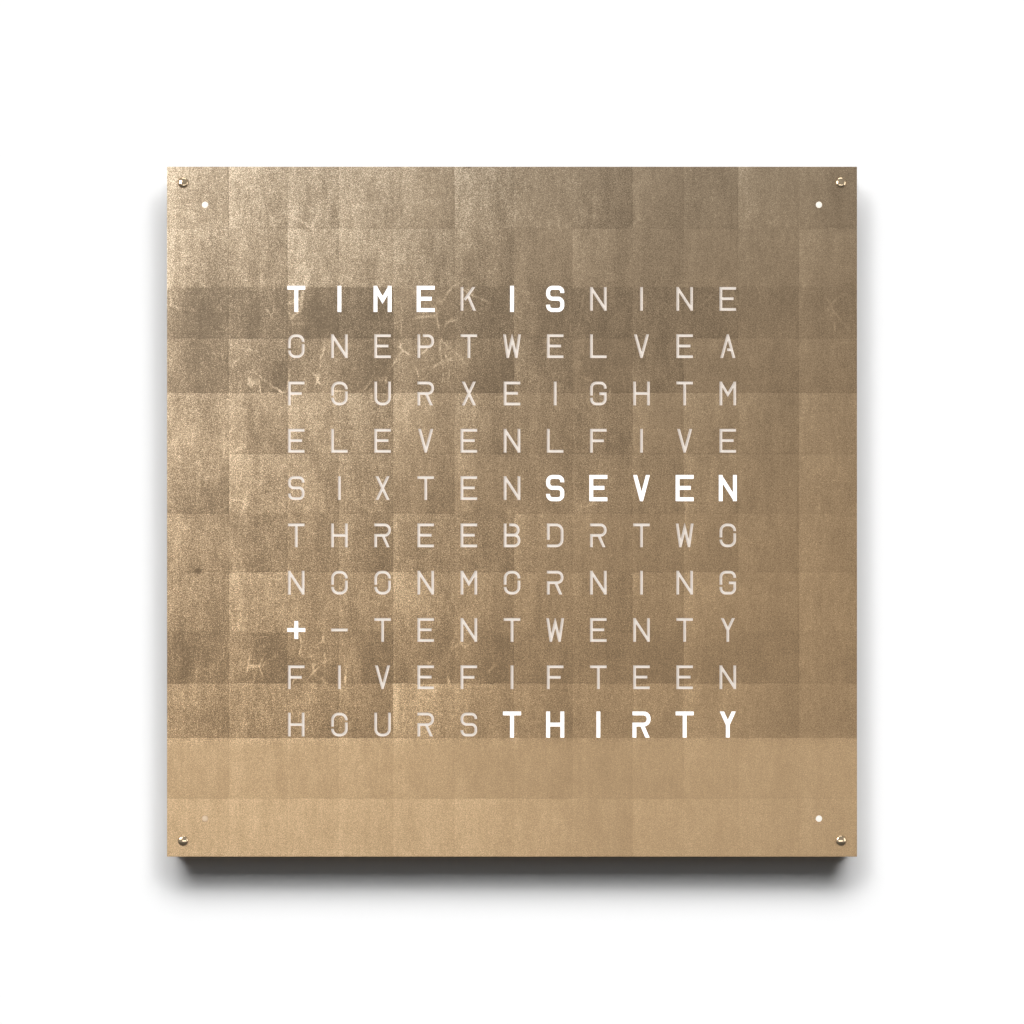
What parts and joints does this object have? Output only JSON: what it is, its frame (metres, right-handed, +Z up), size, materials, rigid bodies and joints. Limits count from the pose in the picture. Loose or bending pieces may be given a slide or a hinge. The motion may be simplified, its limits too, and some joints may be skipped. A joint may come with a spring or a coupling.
{
  "type": "word clock",
  "caption": "Flat square wall clock: a pinned front plate over a slab body with a matrix of lit letter cells, corner minute lights, side push buttons and rear keyhole plates.",
  "frame": {"origin": "centre of the body's back face, on the wall plane", "axes": "+Y into the wall, +Z up, +X to the right as seen from the front; the front faces -Y"},
  "size_m": [0.9, 0.0315, 0.9],
  "materials": {
    "leafed_metal": "satin",
    "steel": "polished",
    "lacquer": "satin",
    "opal": "satin",
    "white_plastic": "matte",
    "white_board": "satin",
    "green_board": "satin",
    "brass": "satin",
    "grey_cable": "satin",
    "black_plastic": "satin",
    "zinc": "satin",
    "ferrite": "matte",
    "copper_winding": "satin"
  },
  "bodies": {
    "clock": {"antenna_coil": "copper_winding", "antenna_rod": "ferrite", "battery_holder": "black_plastic", "body": "lacquer", "bus_board": "green_board", "coin_cell": "steel", "control_board": "green_board", "cover_pin_bottom_left": "steel", "cover_pin_bottom_right": "steel", "cover_pin_top_left": "steel", "cover_pin_top_right": "steel", "dc_socket": "black_plastic", "diffuser_sheet": "opal", "front_cover": "leafed_metal", "hanger_plate_left": "zinc", "hanger_plate_right": "zinc", "led_strip_01": "white_board", "led_strip_02": "white_board", "led_strip_03": "white_board", "led_strip_04": "white_board", "led_strip_05": "white_board", "led_strip_06": "white_board", "led_strip_07": "white_board", "led_strip_08": "white_board", "led_strip_09": "white_board", "led_strip_10": "white_board", "light_baffle": "white_plastic", "minute_board_bottom_left": "white_board", "minute_board_bottom_right": "white_board", "minute_board_top_left": "white_board", "minute_board_top_right": "white_board", "minute_cup_bottom_left": "white_plastic", "minute_cup_bottom_right": "white_plastic", "minute_cup_top_left": "white_plastic", "minute_cup_top_right": "white_plastic", "minute_lead_bottom_left": "grey_cable", "minute_lead_bottom_right": "grey_cable", "minute_lead_top_left": "grey_cable", "minute_lead_top_right": "grey_cable", "minute_lens_bottom_left": "opal", "minute_lens_bottom_right": "opal", "minute_lens_top_left": "opal", "minute_lens_top_right": "opal", "pin_bush_bottom_left": "brass", "pin_bush_bottom_right": "brass", "pin_bush_top_left": "brass", "pin_bush_top_right": "brass", "ribbon_cable": "grey_cable", "service_cover": "black_plastic"},
    "button_1": {"button_cap_1": "black_plastic", "switch_plunger_1": "white_plastic"},
    "button_2": {"button_cap_2": "black_plastic", "switch_plunger_2": "white_plastic"},
    "button_3": {"button_cap_3": "black_plastic", "switch_plunger_3": "white_plastic"},
    "button_4": {"button_cap_4": "black_plastic", "switch_plunger_4": "white_plastic"}
  },
  "joints": [
    {"name": "button_1_press", "type": "slide", "parent": "clock", "child": "button_1", "axis": [-1, 0, 0], "range_m": [0, 0.0012], "stiffness_N_per_m": 800, "springref_m": -0.0005},
    {"name": "button_2_press", "type": "slide", "parent": "clock", "child": "button_2", "axis": [-1, 0, 0], "range_m": [0, 0.0012], "stiffness_N_per_m": 800, "springref_m": -0.0005},
    {"name": "button_3_press", "type": "slide", "parent": "clock", "child": "button_3", "axis": [-1, 0, 0], "range_m": [0, 0.0012], "stiffness_N_per_m": 800, "springref_m": -0.0005},
    {"name": "button_4_press", "type": "slide", "parent": "clock", "child": "button_4", "axis": [-1, 0, 0], "range_m": [0, 0.0012], "stiffness_N_per_m": 800, "springref_m": -0.0005}
  ]
}
